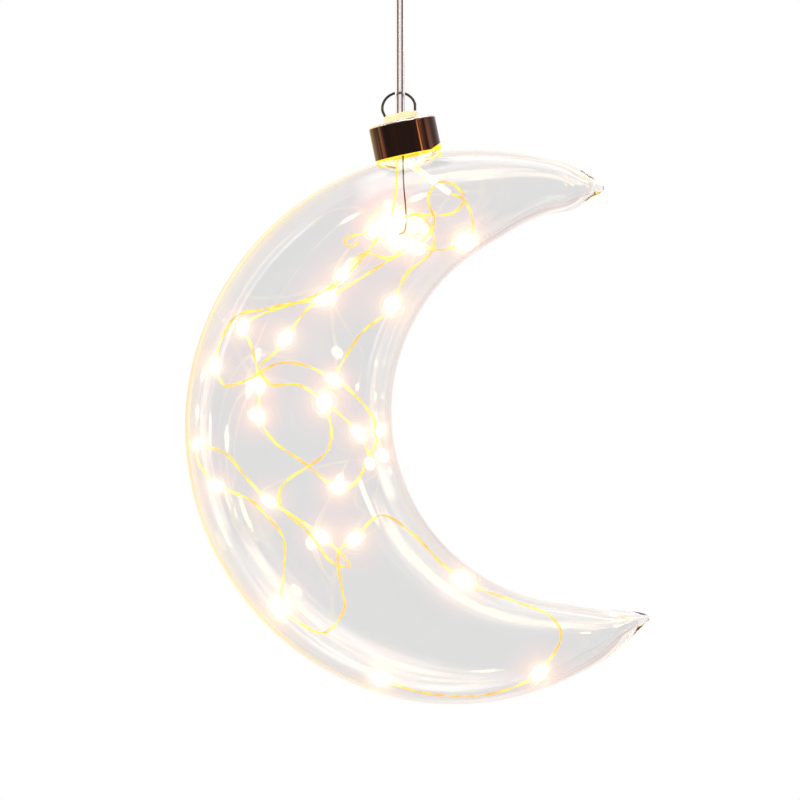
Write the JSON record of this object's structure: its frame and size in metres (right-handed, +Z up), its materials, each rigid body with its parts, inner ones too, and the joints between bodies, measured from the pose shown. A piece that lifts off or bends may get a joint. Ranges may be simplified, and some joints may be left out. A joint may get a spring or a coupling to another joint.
{
  "type": "hanging crescent moon light",
  "caption": "Blown glass crescent moon with a string of small lights inside, hung from a ceiling cup on a clear flat twin lead.",
  "frame": {"origin": "centre of the ceiling plate's top face, where it rests against the ceiling", "axes": "+Z up; +X to the right of the crescent as seen from the front, the side on which it is open; +Y to the back"},
  "size_m": [0.1671, 0.052, 0.28],
  "materials": {
    "glass": "clear blown glass",
    "gunmetal": "dark mirror plating",
    "peach_plastic": "translucent, moulded",
    "dark_wire": "dark steel wire",
    "clear_jacket": "clear soft plastic",
    "copper": "tarnished bare copper",
    "clear_sleeve": "clear heat-shrink sleeve",
    "thin_leads": "dark lacquered wire",
    "gold_wire": "gold-coloured lacquer on thin twin copper wire",
    "resin": "clear resin",
    "light_chip": "warm white light chip",
    "white_plastic": "moulded",
    "soft_seal": "soft",
    "plate_steel": "zinc plated",
    "dark_steel": "dark mirror plating",
    "crimp_metal": "plain"
  },
  "bodies": {
    "ceiling": {"ceiling_plate": "plate_steel", "ceiling_cup": "dark_steel", "cup_screws": "plate_steel", "cord_bush": "white_plastic", "bush_nut": "plate_steel"},
    "cord": {"cord_stop": "crimp_metal", "cord_jacket": "clear_jacket", "cord_cores": "copper", "cord_ferrule": "crimp_metal"},
    "swivel": {"swivel_ball": "white_plastic"},
    "moon": {"neck_plug": "peach_plastic", "plug_cover": "white_plastic", "cap_shell": "gunmetal", "neck_seal": "soft_seal", "glass_crescent": "glass", "lead_sleeve": "clear_sleeve", "lead_wires": "thin_leads", "led_wire": "gold_wire", "led_drops": "resin", "led_chips": "light_chip"},
    "bail": {"bail": "dark_wire"}
  },
  "joints": [
    {"name": "cord_swing", "type": "hinge", "parent": "ceiling", "child": "cord", "pos_m": [0, 0, -0.014], "axis": [1, 0, 0], "range_deg": [-20, 20]},
    {"name": "moon_turn", "type": "hinge", "parent": "cord", "child": "swivel", "pos_m": [0, 0, -0.0725], "axis": [0, 0, 1], "range_deg": [-180, 180]},
    {"name": "moon_rock", "type": "hinge", "parent": "swivel", "child": "moon", "pos_m": [0, 0, -0.0725], "axis": [0, 1, 0], "range_deg": [-8, 8]},
    {"name": "bail_fold", "type": "hinge", "parent": "moon", "child": "bail", "pos_m": [0.00027, 0, -0.06832], "axis": [-0.9796, 0, -0.2011], "range_deg": [0, 55]}
  ]
}
